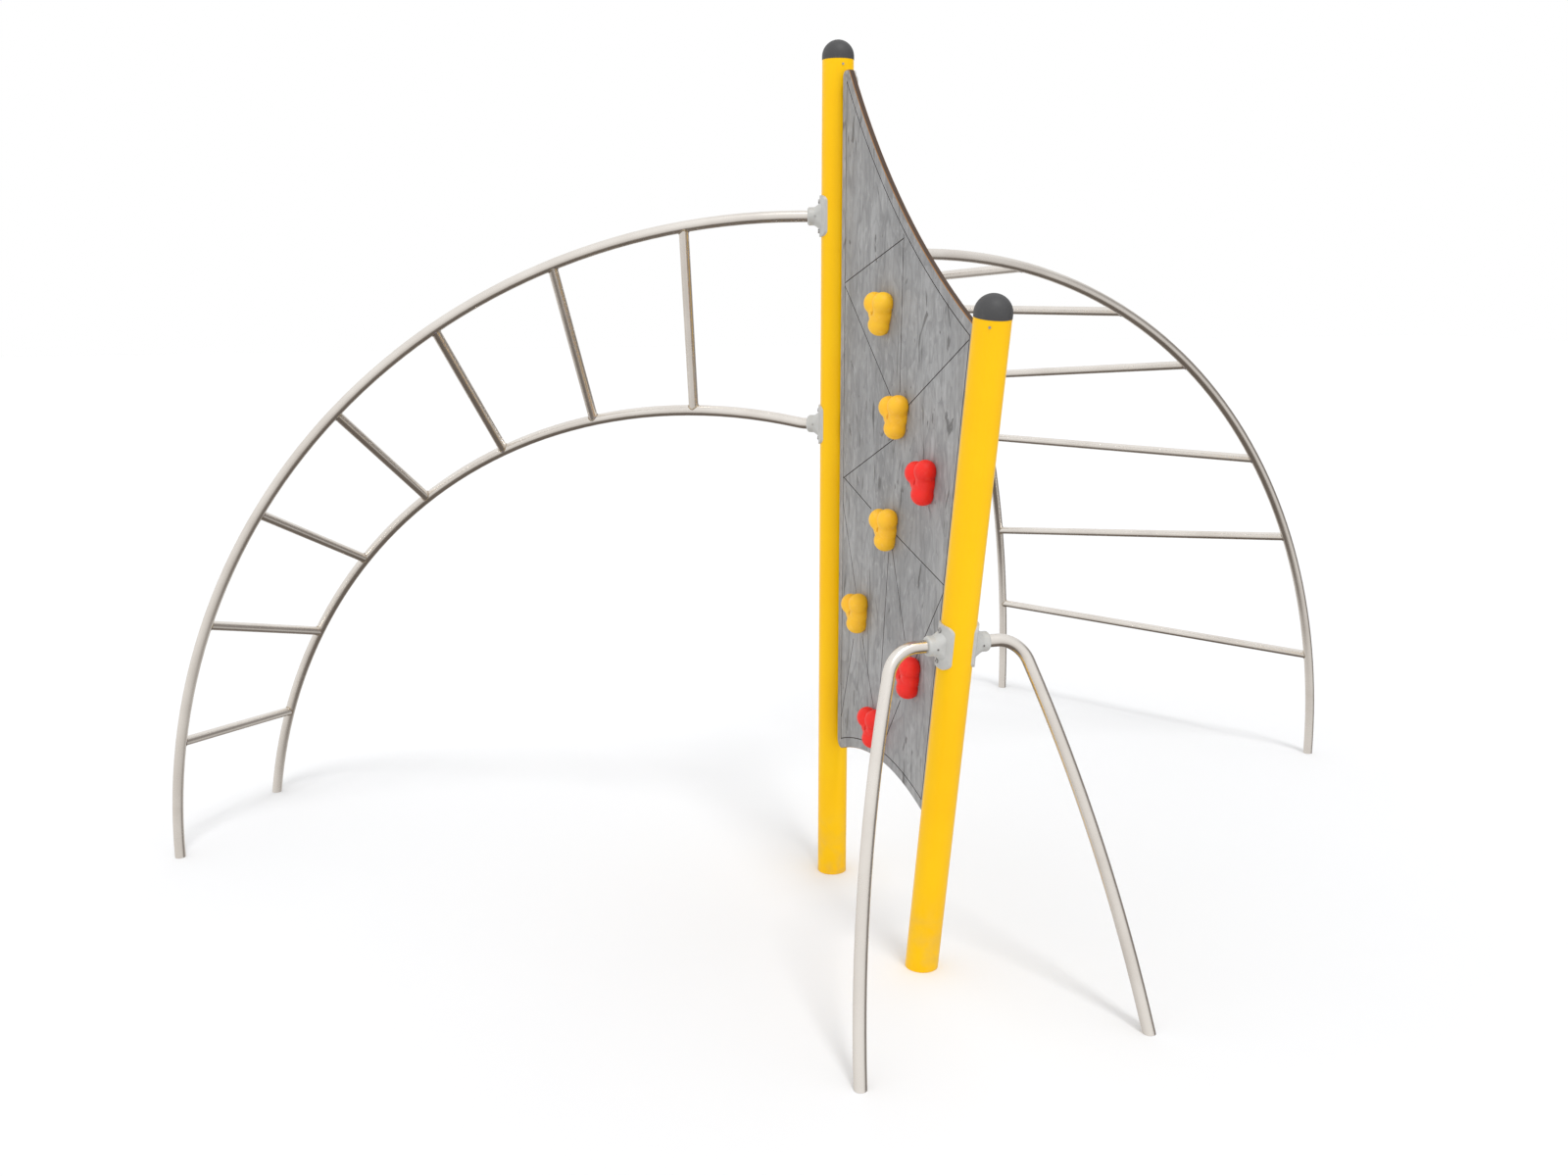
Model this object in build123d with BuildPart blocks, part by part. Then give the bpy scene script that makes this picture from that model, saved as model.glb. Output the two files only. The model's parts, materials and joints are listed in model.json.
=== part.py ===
"""Dome climber: two tube ladders and a climbing wall around one tall post.

Millimetres, +Z up. The origin is the centre of the tall post's foot on the
ground. The climbing wall lies in the plane X = 0 and runs towards -Y, its
climbing face looking towards -X.
"""
import math
import os

from build123d import *

# ---------------------------------------------------------------- posts
POST_R = 57.15
POST_WALL = 3.0
TALL_H = 3118.0
SHORT_BASE = 877.0
SHORT_LEAN = 9.85
SHORT_LEN = 2270.0
CUT_PAST = 5.0
BELOW_GROUND = 60.0

# ---------------------------------------------------------------- caps
CAP_LIP = 0.75
CAP_R = POST_R + CAP_LIP
CAP_RIM = 12.0
CAP_SKIRT = 34.0
CAP_WALL = 3.0
CAP_GAP = 0.15
CAP_SCREW_R = 2.0
CAP_SCREW_IN = 4.0
CAP_SCREW_DROP = 20.0
CAP_SCREW_HEAD_R = 4.0
CAP_SCREW_HEAD_H = 2.6
CAP_SCREW_KEY = 1.6
CAP_SCREW_KEY_DEEP = 1.4
CAP_SCREW_AZ = 267.0
SHORT_CAP_TURN = -30.0
SCREW_GAP = 0.2

# ---------------------------------------------------------------- tubes
RAIL_R = 21.2
RAIL_WALL = 2.6
RUNG_R = 19.0
RUNG_WALL = 2.3
SOCKET_GAP = 4.85
TWIN_GAP = 5.2
TUBE_START = POST_R + SOCKET_GAP

# ---------------------------------------------------------------- arches
LEFT_AZ = 150.0
LEFT_HALF = 8.3
UPPER_DROP = 545.0
UPPER_C = 135.0
UPPER_R = TALL_H - UPPER_DROP
LADDER_DEPTH = 348.0
LOWER_C = 535.0
LOWER_CZ = -381.0
LOWER_R = UPPER_R - LADDER_DEPTH
LOWER_BEND = 150.0
JOGGLE_PAST = 10.0
LEFT_RUNG_FIRST = 80.3
LEFT_RUNG_STEP = 11.52
LEFT_LOW_FIRST = 88.8
LEFT_LOW_STEP = 11.35
LEFT_RUNGS = 7
FOOT_EXTRA = 2.5

RIGHT_AZ = 30.0
RIGHT_HALF = 18.5
RIGHT_C = 420.0
TWIN_DROP = 677.0
RIGHT_R = TALL_H - TWIN_DROP
RIGHT_NEAR_ANGLES = (78.8, 65.0, 54.1, 38.8, 27.8, 12.3)
RIGHT_FAR_ANGLES = (74.6, 65.0, 50.1, 38.8, 23.4, 12.3)
TWIN_START = max(
    TUBE_START, RAIL_R / math.sin(math.radians(RIGHT_HALF)) + TWIN_GAP
)

# ---------------------------------------------------------------- clamps
CLAMP_WALL = 11.8
CLAMP_COLLAR_R = RAIL_R + CLAMP_WALL
CLAMP_COLLAR_ROUND = 8.0
CLAMP_REACH = TUBE_START + 46.0
CLAMP_NECK = POST_R + 28.85
CLAMP_NECK_IN = 1.2
FLANGE_T = 7.0
FLANGE_EDGE = 11.15
FLANGE_ROUND = 22.0
FLANGE_PAST = 18.5
CLAMP_SCREW_R = 4.0
CLAMP_SCREW_HEAD_R = 7.5
CLAMP_SCREW_HEAD_H = 7.0
CLAMP_SCREW_KEY = 3.2
CLAMP_SCREW_KEY_DEEP = 3.5
CLAMP_SCREW_IN = 8.0
CLAMP_SCREW_PAST = 12.5
CLAMP_SCREW_OFF = CLAMP_COLLAR_R + CLAMP_SCREW_HEAD_R + CLAMP_SCREW_PAST
CLAMP_HEAD_GAP = 0.3
CLAMP_SEAT = POST_R + 5.0
CLAMP_WIDE = 2 * (POST_R - FLANGE_EDGE)
CLAMP_TALL = 2 * (CLAMP_SCREW_OFF + FLANGE_PAST + 2.0)
BELL_TALL = CLAMP_TALL - 30.0
BELL_MID_TALL = CLAMP_TALL - 54.0
TWIN_WALL = 7.8
TWIN_COLLAR_R = RAIL_R + TWIN_WALL
TWIN_COLLAR_ROUND = 4.0
TWIN_REACH = TWIN_START + 54.0
TWIN_WIDE = 2 * (POST_R - 3.15)
TWIN_BELL_WIDE = 2 * TWIN_COLLAR_R + 34.0
SET_SCREW_R = 4.0
SET_SCREW_BACK = 28.0
SET_SCREW_PROUD = 1.0
SET_SCREW_KEY = 2.3
SET_SCREW_KEY_DEEP = 4.0

# ---------------------------------------------------------------- legs
LEG_Z = 1212.0
LEG_FOOT_X = 500.0
LEG_SPREAD_Y = 653.0
LEG_FOOT_Y = -(SHORT_BASE + LEG_SPREAD_Y)
LEG_BEND_R = 110.0
LEG_TOP_SLOPE = 17.7
LEG_ARC_R = 5900.0
LEG_FOOT_EXTRA = 0.6

# ---------------------------------------------------------------- wall
WALL_T = 20.0
WALL_GAP = 18.85
WALL_START = POST_R + WALL_GAP
WALL_TOP_Z = TALL_H - 48.0
WALL_TOP_W = 131.5
WALL_TOP_SAG = 77.8
WALL_LOW_Z = 536.0
WALL_LOW_SAG = 84.7
WALL_OUT_DROP = 35.5
WALL_OUT_TOP_Z = SHORT_LEN * math.cos(math.radians(SHORT_LEAN)) - WALL_OUT_DROP
WALL_OUT_LOW_Z = 559.0
WALL_CHAMFER = 2.0
WALL_TIP_ROUND = 24.0
WALL_LOW_ROUND = 34.0
GROOVE_W = 3.6
GROOVE_D = 1.6
BORDER = 38.0
BORDER_W = WALL_START + BORDER
GROOVES = (
    ((640, 2478), (BORDER_W, 2333)),
    ((BORDER_W, 2322), (553, 1952)),
    ((636, 2490), (626, 1973)),
    ((701, 1937), (1135, 2167)),
    ((633, 1832), (BORDER_W, 1617)),
    ((BORDER_W, 1622), (393, 1541)),
    ((603, 1487), (1004, 1386)),
    ((1000, 1360), (760, 1040)),
    ((676, 908), (540, 715)),
    ((BORDER_W, 1523), (257, 1203)),
    ((553, 1413), (470, 680)),
    ((581, 1434), (707, 1131)),
    ((318, 1055), (434, 817)),
    ((235, 1025), (BORDER_W, 680)),
)

# ---------------------------------------------------------------- holds
HOLD_SPOTS = (
    ("hold_yellow_1", 494.0, 2233.0, 0.0),
    ("hold_yellow_2", 640.0, 1894.0, 6.0),
    ("hold_yellow_3", 568.0, 1498.0, 8.0),
    ("hold_yellow_4", 313.0, 1144.0, 12.0),
    ("hold_red_1", 869.0, 1702.0, 10.0),
    ("hold_red_2", 779.0, 1024.0, 10.0),
    ("hold_red_3", 480.0, 752.0, 8.0),
)
HOLD_LOBE_R = 36.0
HOLD_SPREAD = 40.0
HOLD_UP = 36.0
HOLD_DOWN = 42.0
HOLD_DEEP = 64.0
HOLD_ROUND = 14.0
HOLD_WEB_TOP = 18.0
HOLD_WEB_LOW = 12.0
HOLD_WEB_OUT = 16.0
HOLD_WEB_IN = 10.0
HOLD_BOLT_R = 5.0
HOLD_HEAD_R = 8.0
HOLD_HEAD_H = 10.0
HOLD_HEAD_GAP = 1.0
HOLD_KEY = 4.4
HOLD_KEY_DEEP = 6.0
HOLD_SEAT = 22.0
BORE_GAP = 0.5
TEE_R = 13.0
TEE_T = 2.0
TEE_NUT_R = 8.0
TEE_NUT_H = 8.0

# ---------------------------------------------------------------- wall brackets
LUG_T = 6.0
LUG_TALL = 90.0
LUG_CORNER = 12.0
LUG_SIDE = 24.0
LUG_BOLT_W = WALL_START + 36.0
LUG_BOLT_Z = 25.0
LUG_REACH = LUG_BOLT_W + 26.0
LUG_ROOT = POST_R - 25.0
SADDLE_TURN = 40.0
SADDLE_WIDE = 2 * POST_R * math.sin(
    math.radians(SADDLE_TURN) - math.asin(WALL_T / 2 / POST_R)
)
SADDLE_T = 14.0
SADDLE_ROUND = 8.0
SADDLE_SINK = 12.0
WALL_SCREW_R = 4.0
WALL_SCREW_HEAD_R = 8.0
WALL_SCREW_HEAD_H = 5.0
INSERT_R = 7.0
INSERT_DEEP = 14.0
TALL_LUGS = (WALL_TOP_Z - 48.0, 1800.0, 700.0)
SHORT_LUGS = (WALL_OUT_TOP_Z - 121.0, 1560.0, 720.0)

os.makedirs("parts", exist_ok=True)


def save(name, solid):
    """Label one finished piece and write its file."""
    solid.label = name
    export_step(solid, f"parts/{name}.step")


def arm_plane(azimuth):
    """Vertical plane through the tall post: local x outwards, local y up."""
    a = math.radians(azimuth)
    return Plane(
        origin=(0, 0, 0),
        x_dir=(math.cos(a), math.sin(a), 0),
        z_dir=(math.sin(a), -math.cos(a), 0),
    )


def short_axis(z):
    """Distance of the short post's axis from the tall post at height z."""
    return SHORT_BASE + math.tan(math.radians(SHORT_LEAN)) * z


LEAN = math.radians(SHORT_LEAN)
LEAN_DIR = Vector(0, -math.sin(LEAN), math.cos(LEAN))
SHORT_TOP = Vector(0, -SHORT_BASE, 0) + LEAN_DIR * SHORT_LEN
WALL_PLANE = Plane(origin=(0, 0, 0), x_dir=(0, -1, 0), z_dir=(-1, 0, 0))
SHORT_PLANE = Plane(
    origin=(0, -SHORT_BASE, 0),
    x_dir=(0, -math.cos(LEAN), -math.sin(LEAN)),
    z_dir=(0, -math.sin(LEAN), math.cos(LEAN)),
)


# ---------------------------------------------------------------- posts
with BuildPart() as tall_envelope:
    with BuildSketch(Plane.XY):
        Circle(POST_R)
    extrude(amount=TALL_H)

with BuildPart() as short_envelope:
    with BuildSketch(SHORT_PLANE):
        Circle(POST_R)
    extrude(amount=SHORT_LEN)
    with BuildSketch(SHORT_PLANE):
        Circle(POST_R)
    extrude(amount=-BELOW_GROUND)
    split(bisect_by=Plane.XY, keep=Keep.TOP)


def cap_frame(top, axis, azimuth):
    """Plane on a post's open end, its x towards the cap screw."""
    a = math.radians(azimuth)
    out = Vector(math.cos(a), math.sin(a), 0)
    out = (out - axis * out.dot(axis)).normalized()
    return Plane(origin=top, x_dir=out, z_dir=axis)


TALL_CAP = cap_frame(Vector(0, 0, TALL_H), Vector(0, 0, 1), CAP_SCREW_AZ)
SHORT_CAP = cap_frame(SHORT_TOP, LEAN_DIR, CAP_SCREW_AZ + SHORT_CAP_TURN)


def screw_plane(frame, drop):
    """Plane across a cap screw, starting on the post's axis."""
    start = frame.origin - frame.z_dir * drop
    return Plane(origin=start, x_dir=frame.z_dir, z_dir=frame.x_dir)


def make_post(envelope, sketch_plane, length, frame, clear):
    """One post tube with the hole of its cap screw."""
    with BuildPart() as post:
        add(envelope)
        with BuildSketch(sketch_plane):
            Circle(POST_R - POST_WALL)
        extrude(amount=length + CUT_PAST, mode=Mode.SUBTRACT)
        with BuildSketch(sketch_plane):
            Circle(POST_R - POST_WALL)
        extrude(amount=-BELOW_GROUND, mode=Mode.SUBTRACT)
        with BuildSketch(screw_plane(frame, CAP_SCREW_DROP)):
            Circle(CAP_SCREW_R + SCREW_GAP)
        extrude(amount=POST_R + CUT_PAST, mode=Mode.SUBTRACT)
        for spot in clear:
            with BuildSketch(spot):
                Circle(CLAMP_SCREW_R + SCREW_GAP)
            extrude(amount=POST_R + CUT_PAST, mode=Mode.SUBTRACT)
    return post.part


def make_cap(frame):
    """Domed cap with a thin skirt that plugs into the post."""
    inner = POST_R - POST_WALL - CAP_GAP
    profile = Plane(origin=frame.origin, x_dir=frame.x_dir, z_dir=-frame.y_dir)
    with BuildPart() as cap:
        with BuildSketch(profile):
            with BuildLine():
                low = -CAP_SKIRT
                Line((inner - CAP_WALL, low), (inner, low))
                Line((inner, low), (inner, 0))
                Line((inner, 0), (CAP_R, 0))
                Line((CAP_R, 0), (CAP_R, CAP_RIM))
                CenterArc((0, CAP_RIM), CAP_R, 0, 90)
                Line((0, CAP_RIM + CAP_R), (0, CAP_RIM + inner - CAP_WALL))
                CenterArc((0, CAP_RIM), inner - CAP_WALL, 0, 90)
                Line((inner - CAP_WALL, CAP_RIM), (inner - CAP_WALL, low))
            make_face()
        revolve(axis=Axis(frame.origin, frame.z_dir))
        with BuildSketch(screw_plane(frame, CAP_SCREW_DROP)):
            Circle(CAP_SCREW_R + SCREW_GAP / 2)
        extrude(amount=POST_R, mode=Mode.SUBTRACT)
    return cap.part


save("tall_post_cap", make_cap(TALL_CAP))
save("short_post_cap", make_cap(SHORT_CAP))

with BuildPart() as cap_screws:
    for frame in (TALL_CAP, SHORT_CAP):
        across = screw_plane(frame, CAP_SCREW_DROP)
        inside = POST_R - POST_WALL - CAP_WALL - CAP_SCREW_IN
        with BuildSketch(across.offset(inside)):
            Circle(CAP_SCREW_R)
        extrude(amount=POST_R - inside)
        with BuildSketch(across.offset(POST_R)):
            Circle(CAP_SCREW_HEAD_R)
        extrude(amount=CAP_SCREW_HEAD_H)
        top = cap_screws.faces().sort_by(Axis(across.origin, across.z_dir))[-1]
        with BuildSketch(Plane(origin=top.center(), x_dir=across.x_dir, z_dir=across.z_dir)):
            RegularPolygon(CAP_SCREW_KEY, 6)
        extrude(amount=-CAP_SCREW_KEY_DEEP, mode=Mode.SUBTRACT)
save("cap_screws", cap_screws.part)


# ---------------------------------------------------------------- rails
def arc_point(azimuth, centre, height, radius, angle):
    """Point of a rail's centre line at an angle above the horizontal."""
    t = math.radians(angle)
    a = math.radians(azimuth)
    r = centre + radius * math.cos(t)
    return Vector(r * math.cos(a), r * math.sin(a), height + radius * math.sin(t))


def centre_line(azimuth, centre, height, radius, bend, start):
    """Rail centre line: socket straight, optional joggle, long arc to ground."""
    plane = arm_plane(azimuth)
    joggle = CLAMP_REACH + JOGGLE_PAST
    foot = -math.degrees(math.asin(height / radius)) - FOOT_EXTRA
    with BuildLine(plane) as path:
        if bend:
            run = centre - joggle
            phi = math.asin(run / (radius + bend))
            level = height + (radius + bend) * math.cos(phi) - bend
            Line((start, level), (joggle, level))
            CenterArc(
                (joggle, level + bend), bend, -90, math.degrees(phi)
            )
            CenterArc(
                (centre, height), radius, 90 + math.degrees(phi),
                foot - 90 - math.degrees(phi),
            )
        else:
            level = height + radius
            Line((start, level), (centre, level))
            CenterArc((centre, height), radius, 90, foot - 90)
    return path.line, level


def swept(line, start, direction, outer, inner):
    """Round tube along a line, cut flat on the ground."""
    with BuildPart() as tube:
        with BuildLine():
            add(line)
        with BuildSketch(Plane(origin=start, z_dir=direction)):
            Circle(outer)
            if inner > 0:
                Circle(inner, mode=Mode.SUBTRACT)
        sweep()
        split(bisect_by=Plane.XY, keep=Keep.TOP)
    return tube.part


def rail(azimuth, centre, height, radius, bend=0.0, begin=TUBE_START):
    """Hollow rail, its full envelope and the height of its socket."""
    line, level = centre_line(azimuth, centre, height, radius, bend, begin)
    plane = arm_plane(azimuth)
    start = plane.from_local_coords(Vector(begin, level, 0))
    hollow = swept(line, start, plane.x_dir, RAIL_R, RAIL_R - RAIL_WALL)
    full = swept(line, start, plane.x_dir, RAIL_R, 0)
    return hollow, full, level


UPPER_ARC = (LEFT_AZ + LEFT_HALF, UPPER_C, 0.0, UPPER_R)
LOWER_ARC = (LEFT_AZ - LEFT_HALF, LOWER_C, LOWER_CZ, LOWER_R)
NEAR_ARC = (RIGHT_AZ - RIGHT_HALF, RIGHT_C, 0.0, RIGHT_R)
FAR_ARC = (RIGHT_AZ + RIGHT_HALF, RIGHT_C, 0.0, RIGHT_R)

upper, upper_full, UPPER_Z = rail(*UPPER_ARC)
lower, lower_full, LOWER_Z = rail(*LOWER_ARC, bend=LOWER_BEND)
near, near_full, TWIN_Z = rail(*NEAR_ARC, begin=TWIN_START)
far, far_full, TWIN_Z = rail(*FAR_ARC, begin=TWIN_START)
save("left_arch_upper_rail", upper)
save("left_arch_lower_rail", lower)
save("right_arch_near_rail", near)
save("right_arch_far_rail", far)


# ---------------------------------------------------------------- rungs
def rung(one, two, rails):
    """Hollow rung between two centre lines, its ends coped to both rails."""
    along = two - one
    plane = Plane(origin=one, z_dir=along)
    with BuildPart() as bar:
        with BuildSketch(plane):
            Circle(RUNG_R)
            Circle(RUNG_R - RUNG_WALL, mode=Mode.SUBTRACT)
        extrude(amount=along.length)
        for solid in rails:
            add(solid, mode=Mode.SUBTRACT)
    return bar.part.solids().sort_by(SortBy.VOLUME)[-1]


for i in range(LEFT_RUNGS):
    one = arc_point(*UPPER_ARC, LEFT_RUNG_FIRST - i * LEFT_RUNG_STEP)
    two = arc_point(*LOWER_ARC, LEFT_LOW_FIRST - i * LEFT_LOW_STEP)
    save(f"left_rung_{i + 1}", rung(one, two, (upper_full, lower_full)))

for i, (a, b) in enumerate(zip(RIGHT_NEAR_ANGLES, RIGHT_FAR_ANGLES)):
    one = arc_point(*NEAR_ARC, a)
    two = arc_point(*FAR_ARC, b)
    save(f"right_rung_{i + 1}", rung(one, two, (near_full, far_full)))


# ---------------------------------------------------------------- clamps
def socket_frame(origin, out, up):
    """Plane at a post's axis, its normal along the socket."""
    return Plane(origin=origin, x_dir=out.cross(up) * -1, z_dir=out)


def flange(middle, envelope_plane, wide):
    """Rounded plate wrapped around a post, its inside still filled."""
    with BuildPart() as plate:
        with BuildSketch(middle):
            RectangleRounded(wide, CLAMP_TALL, FLANGE_ROUND)
        extrude(amount=POST_R + FLANGE_T + CUT_PAST)
        with BuildSketch(envelope_plane.offset(middle.origin.Z - CLAMP_TALL)):
            Circle(POST_R + FLANGE_T)
        extrude(amount=2 * CLAMP_TALL, mode=Mode.INTERSECT)
    return plate.part


def clamp(data, twin, leaning):
    """Cast saddle on a post with one or two round sockets."""
    frames = data["frames"]
    envelope = short_envelope.part if leaning else tall_envelope.part
    wide = TWIN_WIDE if twin else CLAMP_WIDE
    collar = TWIN_COLLAR_R if twin else CLAMP_COLLAR_R
    bell = TWIN_BELL_WIDE if twin else 2 * collar
    reach = TWIN_REACH if twin else CLAMP_REACH
    rounding = TWIN_COLLAR_ROUND if twin else CLAMP_COLLAR_ROUND
    neck = 2 * (collar - CLAMP_NECK_IN)
    neck_wide = bell - 2 * CLAMP_NECK_IN
    middle = frames[0]
    if twin:
        out = (frames[0].z_dir + frames[1].z_dir).normalized()
        middle = socket_frame(frames[0].origin, out, frames[0].y_dir)
    with BuildPart() as body:
        add(flange(middle, SHORT_PLANE if leaning else Plane.XY, wide))
        sections = (
            (POST_R - FLANGE_T / 2, bell, BELL_TALL),
            (POST_R + FLANGE_T, bell, BELL_MID_TALL),
            (CLAMP_NECK, neck_wide, neck),
        )
        for at, across, tall in sections:
            with BuildSketch(middle.offset(at)):
                RectangleRounded(across, tall, min(across, tall) / 2 - CLAMP_NECK_IN)
        loft()
        for frame in frames:
            with BuildSketch(frame.offset(POST_R - FLANGE_EDGE)):
                Circle(collar)
            extrude(amount=reach - POST_R + FLANGE_EDGE)
            rim = body.faces().filter_by(
                lambda f, n=frame.z_dir: (f.normal_at() - n).length < 1e-4
                if f.geom_type == GeomType.PLANE else False
            ).sort_by(Axis(frame.origin, frame.z_dir))[-1]
            fillet(rim.edges(), rounding)
        add(envelope, mode=Mode.SUBTRACT)
        for frame in frames:
            with BuildSketch(frame.offset(TUBE_START - 1.0)):
                Circle(RAIL_R)
            extrude(amount=reach, mode=Mode.SUBTRACT)
        for plane in data["bores"]:
            with BuildSketch(plane):
                Circle(CLAMP_SCREW_R + SCREW_GAP)
            extrude(amount=reach, mode=Mode.SUBTRACT)
            with BuildSketch(plane.offset(CLAMP_SEAT)):
                Circle(CLAMP_SCREW_HEAD_R + CLAMP_HEAD_GAP)
            extrude(amount=reach, mode=Mode.SUBTRACT)
        for plane in data["sets"]:
            with BuildSketch(plane):
                Circle(SET_SCREW_R)
            extrude(amount=2 * collar, mode=Mode.SUBTRACT)
    return body.part


UP = Vector(0, 0, 1)


def level_out(azimuth):
    """Level unit vector at an azimuth."""
    a = math.radians(azimuth)
    return Vector(math.cos(a), math.sin(a), 0)


def single_clamp(origin, out, up, turn):
    """Frames of a one-socket clamp; turn is the side of its set screw."""
    frame = socket_frame(origin, out, up)
    bores = []
    for side in (-1, 1):
        at = origin + up * (side * CLAMP_SCREW_OFF)
        bores.append(Plane(origin=at, x_dir=up, z_dir=out))
    side_dir = frame.x_dir * turn
    at = origin + out * (CLAMP_REACH - SET_SCREW_BACK)
    sets = [Plane(origin=at, x_dir=out, z_dir=side_dir)]
    return {"frames": [frame], "bores": bores, "sets": sets}


def twin_clamp(origin, azimuths):
    """Frames of the two-socket clamp of the wide arch."""
    frames = [socket_frame(origin, level_out(a), UP) for a in azimuths]
    out = level_out(sum(azimuths) / 2)
    bores = []
    for side in (-1, 1):
        at = origin + UP * (side * CLAMP_SCREW_OFF)
        bores.append(Plane(origin=at, x_dir=UP, z_dir=out))
    sets = []
    for a in azimuths:
        at = origin + level_out(a) * (TWIN_REACH - SET_SCREW_BACK / 2)
        sets.append(Plane(origin=at, x_dir=level_out(a), z_dir=UP))
    return {"frames": frames, "bores": bores, "sets": sets}


LEG_AXIS = Vector(0, -short_axis(LEG_Z), LEG_Z)
CLAMPS = {
    "left_upper_clamp": single_clamp(
        Vector(0, 0, UPPER_Z), level_out(UPPER_ARC[0]), UP, 1
    ),
    "left_lower_clamp": single_clamp(
        Vector(0, 0, LOWER_Z), level_out(LOWER_ARC[0]), UP, 1
    ),
    "right_twin_clamp": twin_clamp(Vector(0, 0, TWIN_Z), (NEAR_ARC[0], FAR_ARC[0])),
    "left_leg_clamp": single_clamp(LEG_AXIS, Vector(-1, 0, 0), LEAN_DIR, 1),
    "right_leg_clamp": single_clamp(LEG_AXIS, Vector(1, 0, 0), LEAN_DIR, -1),
}
for name, data in CLAMPS.items():
    save(name, clamp(data, len(data["frames"]) > 1, "leg" in name))

with BuildPart() as clamp_screws:
    tip = POST_R - POST_WALL - CLAMP_SCREW_IN
    for data in CLAMPS.values():
        for plane in data["bores"]:
            with BuildSketch(plane.offset(tip)):
                Circle(CLAMP_SCREW_R)
            extrude(amount=CLAMP_SEAT - tip)
            with BuildSketch(plane.offset(CLAMP_SEAT)):
                Circle(CLAMP_SCREW_HEAD_R)
            extrude(amount=CLAMP_SCREW_HEAD_H)
            with BuildSketch(plane.offset(CLAMP_SEAT + CLAMP_SCREW_HEAD_H)):
                RegularPolygon(CLAMP_SCREW_KEY, 6)
            extrude(amount=-CLAMP_SCREW_KEY_DEEP, mode=Mode.SUBTRACT)
save("clamp_screws", clamp_screws.part)

with BuildPart() as set_screws:
    for name, data in CLAMPS.items():
        twin = len(data["frames"]) > 1
        collar = TWIN_COLLAR_R if twin else CLAMP_COLLAR_R
        for plane in data["sets"]:
            with BuildSketch(plane.offset(RAIL_R)):
                Circle(SET_SCREW_R)
            extrude(amount=collar + SET_SCREW_PROUD - RAIL_R)
            with BuildSketch(plane.offset(collar + SET_SCREW_PROUD)):
                RegularPolygon(SET_SCREW_KEY, 6)
            extrude(amount=-SET_SCREW_KEY_DEEP, mode=Mode.SUBTRACT)
save("set_screws", set_screws.part)


# ---------------------------------------------------------------- legs
def make_leg(side):
    """Bent brace from the short post's clamp to the ground."""
    axis_y = -short_axis(LEG_Z)
    down = Vector(0, LEG_FOOT_Y - axis_y, -LEG_Z)
    drop = down.length
    down = down.normalized()
    out = Vector(side, 0, 0)
    plane = Plane(origin=LEG_AXIS, x_dir=out, z_dir=out.cross(down))
    slope = math.radians(LEG_TOP_SLOPE)
    turn = math.pi / 2 - slope
    end = slope - drop / LEG_ARC_R
    reach = LEG_ARC_R * (math.cos(end) - math.cos(slope))
    bend_x = LEG_FOOT_X - reach - LEG_BEND_R * math.sin(turn)
    low_x = bend_x + LEG_BEND_R * math.sin(turn)
    low_y = LEG_BEND_R * (1 - math.cos(turn))
    centre_x = low_x - LEG_ARC_R * math.cos(slope)
    centre_y = low_y + LEG_ARC_R * math.sin(slope)
    with BuildPart() as leg:
        with BuildLine(plane):
            Line((TUBE_START, 0), (bend_x, 0))
            CenterArc((bend_x, LEG_BEND_R), LEG_BEND_R, -90, math.degrees(turn))
            sweep_deg = math.degrees(drop / LEG_ARC_R) + LEG_FOOT_EXTRA
            CenterArc((centre_x, centre_y), LEG_ARC_R, -math.degrees(slope), sweep_deg)
        with BuildSketch(Plane(origin=LEG_AXIS + out * TUBE_START, z_dir=out)):
            Circle(RAIL_R)
            Circle(RAIL_R - RAIL_WALL, mode=Mode.SUBTRACT)
        sweep()
        split(bisect_by=Plane.XY, keep=Keep.TOP)
    return leg.part


save("left_leg", make_leg(-1))
save("right_leg", make_leg(1))


# ---------------------------------------------------------------- wall panel
def wall_outline():
    """Outline of the climbing wall in its own plane."""
    gap = (POST_R + WALL_GAP) / math.cos(LEAN)
    with BuildLine() as edge:
        tip = (WALL_TOP_W, WALL_TOP_Z)
        top = (short_axis(WALL_OUT_TOP_Z) - gap, WALL_OUT_TOP_Z)
        low = (short_axis(WALL_OUT_LOW_Z) - gap, WALL_OUT_LOW_Z)
        corner = (WALL_START, WALL_LOW_Z)
        Line(corner, (WALL_START, WALL_TOP_Z))
        Line((WALL_START, WALL_TOP_Z), tip)
        SagittaArc(tip, top, -WALL_TOP_SAG)
        Line(top, low)
        SagittaArc(low, corner, -WALL_LOW_SAG)
    return edge.line


def lug_marks():
    """Planes of the wall's brackets: post point, outward, up."""
    marks = []
    for i, z in enumerate(TALL_LUGS):
        marks.append((f"tall_bracket_{i + 1}", Vector(0, 0, z), Vector(0, -1, 0), UP))
    back = Vector(0, math.cos(LEAN), math.sin(LEAN))
    for i, z in enumerate(SHORT_LUGS):
        at = Vector(0, -short_axis(z), z)
        marks.append((f"short_bracket_{i + 1}", at, back, LEAN_DIR))
    return marks


LUGS = lug_marks()
HALF = WALL_T / 2


def lug_bolts(origin, out, up):
    """Centres of a bracket's two bolts."""
    return [origin + out * LUG_BOLT_W + up * (s * LUG_BOLT_Z) for s in (-1, 1)]


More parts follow.
